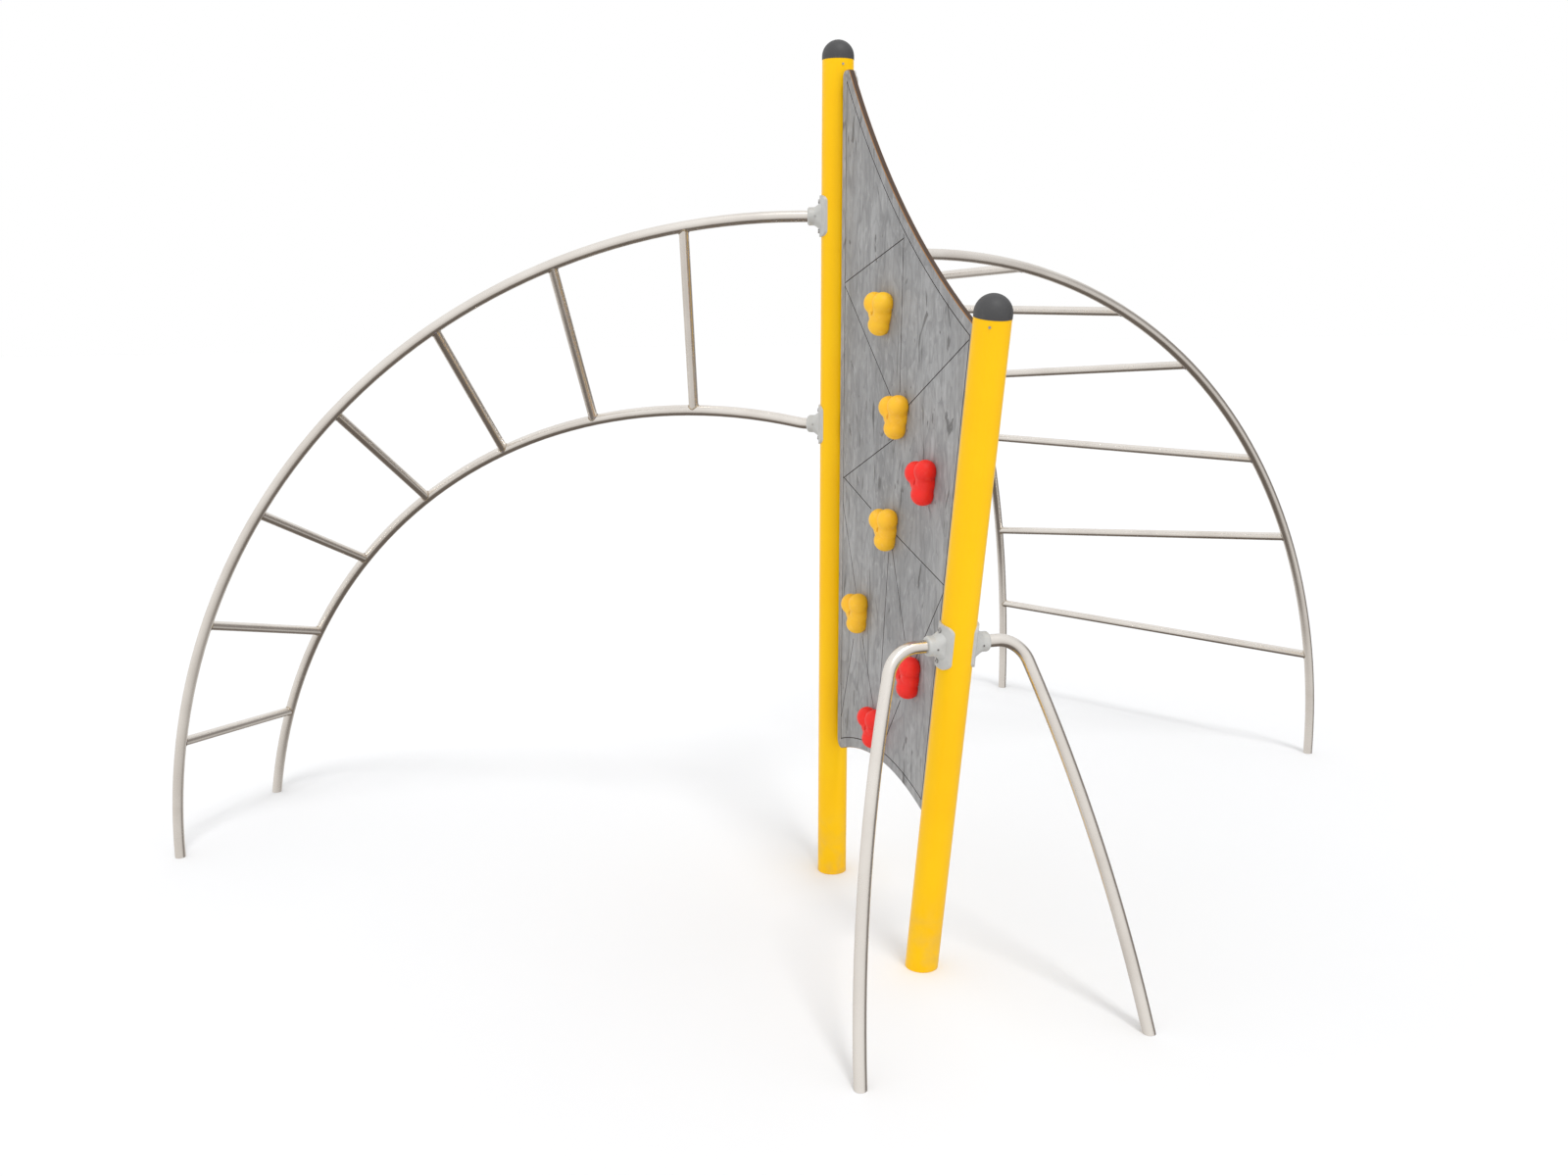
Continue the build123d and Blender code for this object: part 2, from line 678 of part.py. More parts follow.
with BuildPart() as wall_panel:
    with BuildSketch(WALL_PLANE):
        with BuildLine():
            add(wall_outline())
        make_face()
    extrude(amount=HALF, both=True)
    corner_edges = wall_panel.edges().filter_by(Axis.X)
    fillet(corner_edges.sort_by(Axis.Z)[-2:], WALL_TIP_ROUND)
    fillet(wall_panel.edges().filter_by(Axis.X).sort_by(Axis.Z)[:2], WALL_LOW_ROUND)
    rims = wall_panel.faces().filter_by(Axis.X)
    chamfer([e for f in rims for e in f.edges()], WALL_CHAMFER)
    with BuildSketch(WALL_PLANE.offset(HALF)) as lines:
        with BuildLine():
            add(wall_outline())
        make_face()
        offset(amount=-BORDER + GROOVE_W / 2, kind=Kind.INTERSECTION)
        with BuildSketch(WALL_PLANE.offset(HALF), mode=Mode.SUBTRACT):
            with BuildLine():
                add(wall_outline())
            make_face()
            offset(amount=-BORDER - GROOVE_W / 2, kind=Kind.INTERSECTION)
        for (w1, z1), (w2, z2) in GROOVES:
            length = math.hypot(w2 - w1, z2 - z1)
            turn = math.degrees(math.atan2(z2 - z1, w2 - w1))
            with Locations(Location(((w1 + w2) / 2, (z1 + z2) / 2, 0), (0, 0, turn))):
                Rectangle(length, GROOVE_W)
    extrude(amount=-GROOVE_D, mode=Mode.SUBTRACT)
    with BuildSketch(WALL_PLANE.offset(-HALF)):
        for name, w, z, turn in HOLD_SPOTS:
            with Locations((w, z)):
                Circle(HOLD_BOLT_R + BORE_GAP)
    extrude(amount=WALL_T, mode=Mode.SUBTRACT)
    with BuildSketch(WALL_PLANE.offset(-HALF)):
        for name, origin, out, up in LUGS:
            for spot in lug_bolts(origin, out, up):
                with Locations((-spot.Y, spot.Z)):
                    Circle(INSERT_R)
    extrude(amount=INSERT_DEEP, mode=Mode.SUBTRACT)
save("wall_panel", wall_panel.part)


# ---------------------------------------------------------------- wall brackets
def saddle_plane(origin, out, up):
    """Plane on the post's axis, facing the middle of a bracket's saddle."""
    t = math.radians(SADDLE_TURN)
    return Plane(
        origin=origin, x_dir=up, z_dir=out * math.cos(t) + Vector(1, 0, 0) * math.sin(t)
    )


def make_lug(origin, out, up, envelope):
    """Cast bracket: a tongue behind the wall and a saddle on the post."""
    face = Plane(origin=origin + Vector(HALF, 0, 0), x_dir=out, z_dir=(1, 0, 0))
    saddle = saddle_plane(origin, out, up)
    inner = LUG_REACH / 2 + LUG_ROOT / 2
    with BuildPart() as lug:
        with BuildSketch(face):
            with Locations((inner, 0)):
                RectangleRounded(LUG_REACH - LUG_ROOT, LUG_TALL, LUG_CORNER)
        extrude(amount=LUG_T)
        with BuildSketch(saddle.offset(POST_R - SADDLE_SINK)):
            RectangleRounded(LUG_TALL, SADDLE_WIDE, LUG_SIDE)
        extrude(amount=SADDLE_SINK + SADDLE_T)
        top = lug.faces().filter_by(
            lambda f: (f.normal_at() - saddle.z_dir).length < 1e-4
            if f.geom_type == GeomType.PLANE else False
        ).sort_by(Axis(saddle.origin, saddle.z_dir))[-1]
        fillet(top.edges(), SADDLE_ROUND)
        with BuildSketch(face):
            with Locations(*[(LUG_BOLT_W, s * LUG_BOLT_Z) for s in (-1, 1)]):
                Circle(WALL_SCREW_R + BORE_GAP)
        extrude(amount=LUG_T, mode=Mode.SUBTRACT)
        with BuildSketch(face):
            with Locations((POST_R + LUG_REACH, 0)):
                Rectangle(2 * LUG_REACH, 2 * LUG_TALL)
        extrude(amount=-LUG_REACH, mode=Mode.SUBTRACT)
        with BuildSketch(saddle):
            Circle(CLAMP_SCREW_R + SCREW_GAP)
        extrude(amount=2 * POST_R, mode=Mode.SUBTRACT)
        with BuildSketch(saddle.offset(CLAMP_SEAT)):
            Circle(CLAMP_SCREW_HEAD_R + CLAMP_HEAD_GAP)
        extrude(amount=POST_R, mode=Mode.SUBTRACT)
        add(envelope, mode=Mode.SUBTRACT)
    return lug.part


for name, origin, out, up in LUGS:
    post = short_envelope.part if "short" in name else tall_envelope.part
    save(name, make_lug(origin, out, up, post))

with BuildPart() as bracket_screws:
    tip = POST_R - POST_WALL - CLAMP_SCREW_IN
    for name, origin, out, up in LUGS:
        plane = saddle_plane(origin, out, up)
        with BuildSketch(plane.offset(tip)):
            Circle(CLAMP_SCREW_R)
        extrude(amount=CLAMP_SEAT - tip)
        with BuildSketch(plane.offset(CLAMP_SEAT)):
            Circle(CLAMP_SCREW_HEAD_R)
        extrude(amount=CLAMP_SCREW_HEAD_H)
        with BuildSketch(plane.offset(CLAMP_SEAT + CLAMP_SCREW_HEAD_H)):
            RegularPolygon(CLAMP_SCREW_KEY, 6)
        extrude(amount=-CLAMP_SCREW_KEY_DEEP, mode=Mode.SUBTRACT)
save("bracket_screws", bracket_screws.part)

with BuildPart() as wall_screws:
    for name, origin, out, up in LUGS:
        for spot in lug_bolts(origin, out, up):
            seat = Plane(origin=spot + Vector(HALF + LUG_T, 0, 0), x_dir=out, z_dir=(1, 0, 0))
            with BuildSketch(seat):
                Circle(WALL_SCREW_R)
            extrude(amount=-(LUG_T + INSERT_DEEP))
            with BuildSketch(seat):
                Circle(WALL_SCREW_HEAD_R)
            extrude(amount=WALL_SCREW_HEAD_H)
            with BuildSketch(seat.offset(WALL_SCREW_HEAD_H)):
                RegularPolygon(CLAMP_SCREW_KEY, 6)
            extrude(amount=-CLAMP_SCREW_KEY_DEEP, mode=Mode.SUBTRACT)
save("wall_screws", wall_screws.part)

with BuildPart() as wall_inserts:
    for name, origin, out, up in LUGS:
        for spot in lug_bolts(origin, out, up):
            back = spot + Vector(HALF, 0, 0)
            with BuildSketch(Plane(origin=back, x_dir=out, z_dir=(-1, 0, 0))):
                Circle(INSERT_R)
                Circle(WALL_SCREW_R, mode=Mode.SUBTRACT)
            extrude(amount=INSERT_DEEP)
save("wall_inserts", wall_inserts.part)


# ---------------------------------------------------------------- post tubes
def post_bores(leaning):
    """Planes of all screws that go through one post's wall."""
    planes = []
    for name, data in CLAMPS.items():
        if ("leg" in name) == leaning:
            planes.extend(data["bores"])
    for name, origin, out, up in LUGS:
        if ("short" in name) == leaning:
            planes.append(saddle_plane(origin, out, up))
    return planes


save(
    "tall_post",
    make_post(tall_envelope.part, Plane.XY, TALL_H, TALL_CAP, post_bores(False)),
)
save(
    "short_post",
    make_post(short_envelope.part, SHORT_PLANE, SHORT_LEN, SHORT_CAP, post_bores(True)),
)


# ---------------------------------------------------------------- climbing holds
def make_hold(w, z, turn):
    """Three-lobed climbing hold with a countersunk bolt well."""
    face = WALL_PLANE.offset(HALF)
    t = math.radians(turn)
    across = face.x_dir * math.cos(t) + face.y_dir * math.sin(t)
    spot = Plane(
        origin=face.from_local_coords(Vector(w, z, 0)), x_dir=across, z_dir=face.z_dir
    )
    with BuildPart() as hold:
        with BuildSketch(spot):
            with Locations((-HOLD_SPREAD, HOLD_UP), (HOLD_SPREAD, HOLD_UP)):
                Circle(HOLD_LOBE_R)
            with Locations((0, -HOLD_DOWN)):
                Circle(HOLD_LOBE_R)
            with BuildLine():
                high = HOLD_UP + HOLD_WEB_TOP
                side = HOLD_SPREAD + HOLD_WEB_OUT
                foot = HOLD_LOBE_R - HOLD_WEB_IN
                Polyline(
                    (-HOLD_SPREAD, high), (HOLD_SPREAD, high),
                    (side, HOLD_UP - HOLD_WEB_LOW), (foot, -HOLD_DOWN),
                    (-foot, -HOLD_DOWN), (-side, HOLD_UP - HOLD_WEB_LOW),
                    close=True,
                )
            make_face()
        extrude(amount=HOLD_DEEP)
        front = hold.faces().filter_by(Axis.X).sort_by(Axis.X)[0]
        fillet(front.edges(), HOLD_ROUND)
        with BuildSketch(spot):
            Circle(HOLD_BOLT_R + BORE_GAP)
        extrude(amount=HOLD_DEEP, mode=Mode.SUBTRACT)
        with BuildSketch(spot.offset(HOLD_SEAT)):
            Circle(HOLD_HEAD_R + HOLD_HEAD_GAP)
        extrude(amount=HOLD_DEEP, mode=Mode.SUBTRACT)
    return hold.part


for name, w, z, turn in HOLD_SPOTS:
    save(name, make_hold(w, z, turn))

with BuildPart() as hold_bolts:
    for name, w, z, turn in HOLD_SPOTS:
        spot = WALL_PLANE.offset(HALF).from_local_coords(Vector(w, z, 0))
        seat = Plane(origin=spot + Vector(-HOLD_SEAT, 0, 0), x_dir=(0, -1, 0), z_dir=(-1, 0, 0))
        with BuildSketch(seat):
            Circle(HOLD_BOLT_R)
        extrude(amount=-(HOLD_SEAT + WALL_T + TEE_NUT_H))
        with BuildSketch(seat):
            Circle(HOLD_HEAD_R)
        extrude(amount=HOLD_HEAD_H)
        with BuildSketch(seat.offset(HOLD_HEAD_H)):
            RegularPolygon(HOLD_KEY, 6)
        extrude(amount=-HOLD_KEY_DEEP, mode=Mode.SUBTRACT)
save("hold_bolts", hold_bolts.part)

with BuildPart() as tee_nuts:
    for name, w, z, turn in HOLD_SPOTS:
        spot = WALL_PLANE.offset(-HALF).from_local_coords(Vector(w, z, 0))
        back = Plane(origin=spot, x_dir=(0, -1, 0), z_dir=(1, 0, 0))
        with BuildSketch(back):
            Circle(TEE_R)
            Circle(HOLD_BOLT_R, mode=Mode.SUBTRACT)
        extrude(amount=TEE_T)
        with BuildSketch(back):
            Circle(TEE_NUT_R)
            Circle(HOLD_BOLT_R, mode=Mode.SUBTRACT)
        extrude(amount=TEE_NUT_H)
save("hold_tee_nuts", tee_nuts.part)
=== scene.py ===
"""Looks of the dome climber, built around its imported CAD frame.

Every distance is in metres, in the row frame: the origin is the centre of the
tall post's foot and the climbing wall runs towards -Y in the plane X = 0.
"""

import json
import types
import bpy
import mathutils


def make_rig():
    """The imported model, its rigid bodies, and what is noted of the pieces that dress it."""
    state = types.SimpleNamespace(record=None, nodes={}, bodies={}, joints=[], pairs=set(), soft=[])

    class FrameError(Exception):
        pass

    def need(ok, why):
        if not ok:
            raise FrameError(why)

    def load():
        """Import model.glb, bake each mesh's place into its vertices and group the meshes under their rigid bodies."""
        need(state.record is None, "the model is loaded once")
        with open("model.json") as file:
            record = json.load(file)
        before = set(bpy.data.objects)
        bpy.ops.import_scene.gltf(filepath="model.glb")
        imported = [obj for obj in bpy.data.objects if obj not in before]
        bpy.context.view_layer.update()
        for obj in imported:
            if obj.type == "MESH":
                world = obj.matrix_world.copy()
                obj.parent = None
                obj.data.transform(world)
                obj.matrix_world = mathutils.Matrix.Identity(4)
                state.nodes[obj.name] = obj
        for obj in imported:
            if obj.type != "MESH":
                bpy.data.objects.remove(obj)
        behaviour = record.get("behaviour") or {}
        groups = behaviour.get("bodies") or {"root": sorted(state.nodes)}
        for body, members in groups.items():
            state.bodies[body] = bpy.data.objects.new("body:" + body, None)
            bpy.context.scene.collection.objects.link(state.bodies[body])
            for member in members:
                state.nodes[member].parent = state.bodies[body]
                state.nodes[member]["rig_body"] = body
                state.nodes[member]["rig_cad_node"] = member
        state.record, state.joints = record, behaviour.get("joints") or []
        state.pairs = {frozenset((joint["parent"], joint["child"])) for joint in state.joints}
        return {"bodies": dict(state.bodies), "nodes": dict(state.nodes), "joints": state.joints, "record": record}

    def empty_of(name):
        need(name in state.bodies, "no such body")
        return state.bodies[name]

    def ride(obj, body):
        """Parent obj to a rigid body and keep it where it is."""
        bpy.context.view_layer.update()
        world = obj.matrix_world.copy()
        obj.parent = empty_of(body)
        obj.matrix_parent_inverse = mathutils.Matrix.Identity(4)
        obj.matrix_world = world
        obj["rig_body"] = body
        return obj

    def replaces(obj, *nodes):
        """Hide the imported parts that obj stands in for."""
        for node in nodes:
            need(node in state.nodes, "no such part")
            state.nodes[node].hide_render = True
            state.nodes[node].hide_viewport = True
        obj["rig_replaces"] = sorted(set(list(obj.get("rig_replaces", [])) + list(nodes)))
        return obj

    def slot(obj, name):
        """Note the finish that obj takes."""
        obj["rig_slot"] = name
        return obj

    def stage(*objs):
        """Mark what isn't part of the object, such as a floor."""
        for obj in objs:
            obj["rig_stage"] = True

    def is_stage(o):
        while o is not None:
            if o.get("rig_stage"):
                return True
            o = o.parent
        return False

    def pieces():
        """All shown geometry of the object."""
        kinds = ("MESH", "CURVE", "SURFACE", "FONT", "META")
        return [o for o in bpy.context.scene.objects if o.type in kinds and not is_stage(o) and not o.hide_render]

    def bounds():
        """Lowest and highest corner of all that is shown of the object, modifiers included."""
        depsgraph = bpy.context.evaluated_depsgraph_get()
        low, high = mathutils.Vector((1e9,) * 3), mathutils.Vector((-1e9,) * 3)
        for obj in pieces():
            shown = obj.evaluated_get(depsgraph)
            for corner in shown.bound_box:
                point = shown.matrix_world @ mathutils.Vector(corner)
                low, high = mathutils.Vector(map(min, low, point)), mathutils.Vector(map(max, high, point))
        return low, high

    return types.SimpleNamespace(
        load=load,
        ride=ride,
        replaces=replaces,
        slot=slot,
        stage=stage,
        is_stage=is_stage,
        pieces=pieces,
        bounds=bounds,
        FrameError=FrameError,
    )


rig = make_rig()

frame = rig.load()

import json
import logging
import math
from dataclasses import dataclass
from enum import Enum
from typing import Iterable, Sequence

import bpy
from mathutils import Matrix, Vector

LOG = logging.getLogger("dome_climber")
BODY = "root"
SIZE_FILE = "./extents.json"


class Slot(Enum):
    """Record slots of the pieces made here."""

    YELLOW = "hold_yellow"
    RED = "hold_red"
    STEEL = "stainless"


# ------------------------------------------------------------------ shaders
class Graph:
    """Wires one node material around a Principled shader."""

    def __init__(self, name: str) -> None:
        """Start an empty material.

        Args:
            name: Name of the material.
        """
        self.material = bpy.data.materials.new(name)
        self.material.use_nodes = True
        self.tree = self.material.node_tree
        self.tree.nodes.clear()
        self.output = self.add("ShaderNodeOutputMaterial")
        self.shader = self.add("ShaderNodeBsdfPrincipled")
        self.link(self.shader.outputs["BSDF"], self.output.inputs["Surface"])
        self.coords = self.add("ShaderNodeTexCoord").outputs["Object"]

    def add(self, kind: str) -> bpy.types.Node:
        """Add one node.

        Args:
            kind: Blender's name of the node type.

        Returns:
            The new node.
        """
        return self.tree.nodes.new(kind)

    def link(self, out: bpy.types.NodeSocket, into: bpy.types.NodeSocket) -> None:
        """Join an output socket to an input socket."""
        self.tree.links.new(out, into)

    def feed(self, socket: bpy.types.NodeSocket, value: object) -> None:
        """Give a socket a link or a plain value."""
        if isinstance(value, bpy.types.NodeSocket):
            self.link(value, socket)
        else:
            socket.default_value = value

    def stretched(self, scale: Sequence[float]) -> bpy.types.NodeSocket:
        """Object coordinates scaled per axis.

        Args:
            scale: Factor for each axis.

        Returns:
            The vector socket.
        """
        node = self.add("ShaderNodeMapping")
        self.link(self.coords, node.inputs["Vector"])
        node.inputs["Scale"].default_value = scale
        return node.outputs["Vector"]

    def noise(
        self,
        scale: float,
        detail: float = 4.0,
        stretch: Sequence[float] = (1.0, 1.0, 1.0),
        warp: float = 0.0,
    ) -> bpy.types.NodeSocket:
        """Fractal noise on object coordinates.

        Args:
            scale: Features per metre.
            detail: Octaves.
            stretch: Per-axis factor on the coordinates.
            warp: Distortion of the pattern.

        Returns:
            The grey output socket.
        """
        node = self.add("ShaderNodeTexNoise")
        self.link(self.stretched(stretch), node.inputs["Vector"])
        node.inputs["Scale"].default_value = scale
        node.inputs["Detail"].default_value = detail
        node.inputs["Distortion"].default_value = warp
        return node.outputs["Fac"]

    def cells(self, scale: float, feature: str = "F1") -> bpy.types.NodeSocket:
        """Distance output of a cell pattern.

        Args:
            scale: Cells per metre.
            feature: Which distance.

        Returns:
            The distance socket.
        """
        node = self.add("ShaderNodeTexVoronoi")
        node.feature = feature
        self.link(self.coords, node.inputs["Vector"])
        node.inputs["Scale"].default_value = scale
        return node.outputs["Distance"]

    def ramp(
        self, value: bpy.types.NodeSocket, stops: Sequence[tuple]
    ) -> bpy.types.NodeSocket:
        """Colour ramp.

        Args:
            value: Grey input.
            stops: Pairs of position and grey or RGB colour.

        Returns:
            The colour output socket.
        """
        node = self.add("ShaderNodeValToRGB")
        self.link(value, node.inputs["Fac"])
        elements = node.color_ramp.elements
        while len(elements) < len(stops):
            elements.new(0.5)
        for element, (place, tone) in zip(elements, stops):
            rgb = (tone,) * 3 if isinstance(tone, (int, float)) else tuple(tone)
            element.position = place
            element.color = (*rgb, 1.0)
        return node.outputs["Color"]

    def mix(
        self, factor: object, one: object, two: object, how: str = "MIX"
    ) -> bpy.types.NodeSocket:
        """Mix two colours.

        Args:
            factor: Share of the second colour.
            one: First colour or its socket.
            two: Second colour or its socket.
            how: Blend type.

        Returns:
            The mixed colour's socket.
        """
        node = self.add("ShaderNodeMix")
        node.data_type = "RGBA"
        node.blend_type = how
        self.feed(node.inputs[0], factor)
        self.feed(node.inputs[6], self.rgba(one))
        self.feed(node.inputs[7], self.rgba(two))
        return node.outputs[2]

    @staticmethod
    def rgba(value: object) -> object:
        """Pad a plain RGB triple with alpha."""
        if isinstance(value, tuple) and len(value) == 3:
            return (*value, 1.0)
        return value

    def calc(
        self, how: str, one: object, two: object = 0.0, clamp: bool = False
    ) -> bpy.types.NodeSocket:
        """Add one arithmetic node.

        Args:
            how: Operation.
            one: First value or its socket.
            two: Second value or its socket.
            clamp: Whether the result is kept within 0 and 1.

        Returns:
            The result's socket.
        """
        node = self.add("ShaderNodeMath")
        node.operation = how
        node.use_clamp = clamp
        self.feed(node.inputs[0], one)
        self.feed(node.inputs[1], two)
        return node.outputs["Value"]

    def axis(self, letter: str) -> bpy.types.NodeSocket:
        """One component of the object coordinates.

        Args:
            letter: X, Y or Z.

        Returns:
            The component's socket.
        """
        node = self.add("ShaderNodeSeparateXYZ")
        self.link(self.coords, node.inputs["Vector"])
        return node.outputs[letter]

    def facing(self, letter: str) -> bpy.types.NodeSocket:
        """Size of one component of the surface normal.

        Args:
            letter: X, Y or Z.

        Returns:
            The size's socket.
        """
        split = self.add("ShaderNodeSeparateXYZ")
        self.link(self.add("ShaderNodeNewGeometry").outputs["Normal"], split.inputs["Vector"])
        return self.calc("ABSOLUTE", split.outputs[letter])

    def span(self, value: object, low: float, high: float) -> bpy.types.NodeSocket:
        """Map low..high to 0..1, clamped.

        Args:
            value: Value or its socket.
            low: Value that becomes 0.
            high: Value that becomes 1.

        Returns:
            The mapped value's socket.
        """
        node = self.add("ShaderNodeMapRange")
        self.feed(node.inputs["Value"], value)
        node.inputs["From Min"].default_value = low
        node.inputs["From Max"].default_value = high
        return node.outputs["Result"]

    def bump(self, heights: Iterable[tuple]) -> None:
        """Chain bump layers onto the shader.

        Args:
            heights: Triples of height socket, strength and distance in metres.
        """
        last = None
        for height, strength, distance in heights:
            node = self.add("ShaderNodeBump")
            self.feed(node.inputs["Height"], height)
            node.inputs["Strength"].default_value = strength
            node.inputs["Distance"].default_value = distance
            if last is not None:
                self.link(last, node.inputs["Normal"])
            last = node.outputs["Normal"]
        if last is not None:
            self.link(last, self.shader.inputs["Normal"])

    def set(self, **values: object) -> None:
        """Feed the shader's inputs by name, with _ for a space."""
        for key, value in values.items():
            self.feed(self.shader.inputs[key.replace("_", " ")], value)


@dataclass(frozen=True)
class PowderCoat:
    """Glossy powder paint with orange peel, scuffs and dust near the ground."""

    name: str = "powder_yellow"
    color: tuple = (1.0, 0.590, 0.002)
    shade: tuple = (0.99, 0.540, 0.001)

    def material(self) -> bpy.types.Material:
        """Build the finish.

        Returns:
            The finished material.
        """
        g = Graph(self.name)
        tone = g.mix(g.ramp(g.noise(3.0, 5.0), [(0.35, 0.0), (0.7, 1.0)]), self.color, self.shade)
        height = g.axis("Z")
        dust = g.calc(
            "MULTIPLY",
            g.span(height, 0.32, 0.0),
            g.ramp(g.noise(14.0, 8.0, warp=0.6), [(0.42, 0.0), (0.75, 1.0)]),
        )
        tone = g.mix(g.calc("MULTIPLY", dust, 0.35), tone, (0.50, 0.38, 0.20))
        scuffs = g.ramp(g.noise(40.0, 6.0, (1.0, 1.0, 0.08), 1.2), [(0.64, 0.0), (0.72, 1.0)])
        rough = g.calc("ADD", 0.30, g.calc("MULTIPLY", scuffs, 0.16))
        rough = g.calc("ADD", rough, g.calc("MULTIPLY", dust, 0.3), True)
        g.set(Base_Color=tone, Roughness=rough)
        g.shader.inputs["Specular IOR Level"].default_value = 0.18
        g.bump([
            (g.noise(420.0, 2.0), 0.10, 0.0006),
            (scuffs, 0.06, 0.0004),
        ])
        return g.material


@dataclass(frozen=True)
class SatinSteel:
    """Satin stainless tube with a fine grain, hand marks and warm haze."""

    name: str = "stainless_tube"
    color: tuple = (0.83, 0.79, 0.74)
    shade: tuple = (0.66, 0.61, 0.56)
    roughness: float = 0.24
    grain: float = 260.0

    def material(self) -> bpy.types.Material:
        """Build the finish.

        Returns:
            The finished material.
        """
        g = Graph(self.name)
        haze = g.ramp(g.noise(5.0, 6.0, warp=0.4), [(0.38, 0.0), (0.72, 1.0)])
        fine = g.noise(self.grain, 3.0)
        marks = g.ramp(g.noise(26.0, 7.0, warp=1.0), [(0.55, 0.0), (0.74, 1.0)])
        tone = g.mix(g.calc("MULTIPLY", haze, 0.5), self.color, self.shade)
        tone = g.mix(g.calc("MULTIPLY", fine, 0.04), tone, self.shade, "MULTIPLY")
        rough = g.calc("ADD", self.roughness, g.calc("MULTIPLY", marks, 0.06))
        rough = g.calc("ADD", rough, g.calc("MULTIPLY", fine, 0.02))
        g.set(Base_Color=tone, Roughness=rough, Metallic=1.0)
        g.bump([(fine, 0.015, 0.0002)])
        return g.material


@dataclass(frozen=True)
class CastGrey:
    """Painted casting: pitted skin, with random blotches of tone and roughness."""

    name: str = "clamp_grey"
    color: tuple = (0.58, 0.58, 0.56)
    shade: tuple = (0.49, 0.49, 0.47)

    def material(self) -> bpy.types.Material:
        """Build the finish.

        Returns:
            The finished material.
        """
        g = Graph(self.name)
        blotch = g.ramp(g.noise(22.0, 6.0), [(0.35, 0.0), (0.75, 1.0)])
        pits = g.cells(420.0)
        tone = g.mix(g.calc("MULTIPLY", blotch, 0.7), self.color, self.shade)
        rough = g.calc("ADD", 0.42, g.calc("MULTIPLY", blotch, 0.16))
        g.set(Base_Color=tone, Roughness=rough, Metallic=0.15)
        g.bump([(pits, 0.18, 0.0005), (g.noise(90.0, 4.0), 0.12, 0.0010)])
        return g.material


@dataclass(frozen=True)
class MouldedPlastic:
    """Moulded plastic with a fine grain and a dusty bloom."""

    name: str
    color: tuple
    shade: tuple
    bloom: tuple
    roughness: float = 0.5
    grain: float = 700.0
    relief: float = 0.16
    scatter: float = 0.0

    def material(self) -> bpy.types.Material:
        """Build the finish.

        Returns:
            The finished material.
        """
        g = Graph(self.name)
        cloud = g.ramp(g.noise(9.0, 5.0), [(0.3, 0.0), (0.75, 1.0)])
        dust = g.ramp(g.noise(60.0, 8.0, warp=0.8), [(0.56, 0.0), (0.80, 1.0)])
        tone = g.mix(cloud, self.color, self.shade)
        tone = g.mix(g.calc("MULTIPLY", dust, 0.22), tone, self.bloom)
        rough = g.calc("ADD", self.roughness, g.calc("MULTIPLY", dust, 0.18))
        g.set(Base_Color=tone, Roughness=rough)
        g.shader.inputs["Subsurface Weight"].default_value = self.scatter
        g.shader.inputs["Subsurface Radius"].default_value = (0.012, 0.006, 0.003)
        g.bump([
            (g.cells(self.grain), self.relief, 0.0005),
            (g.noise(34.0, 4.0), 0.10, 0.0016),
        ])
        return g.material


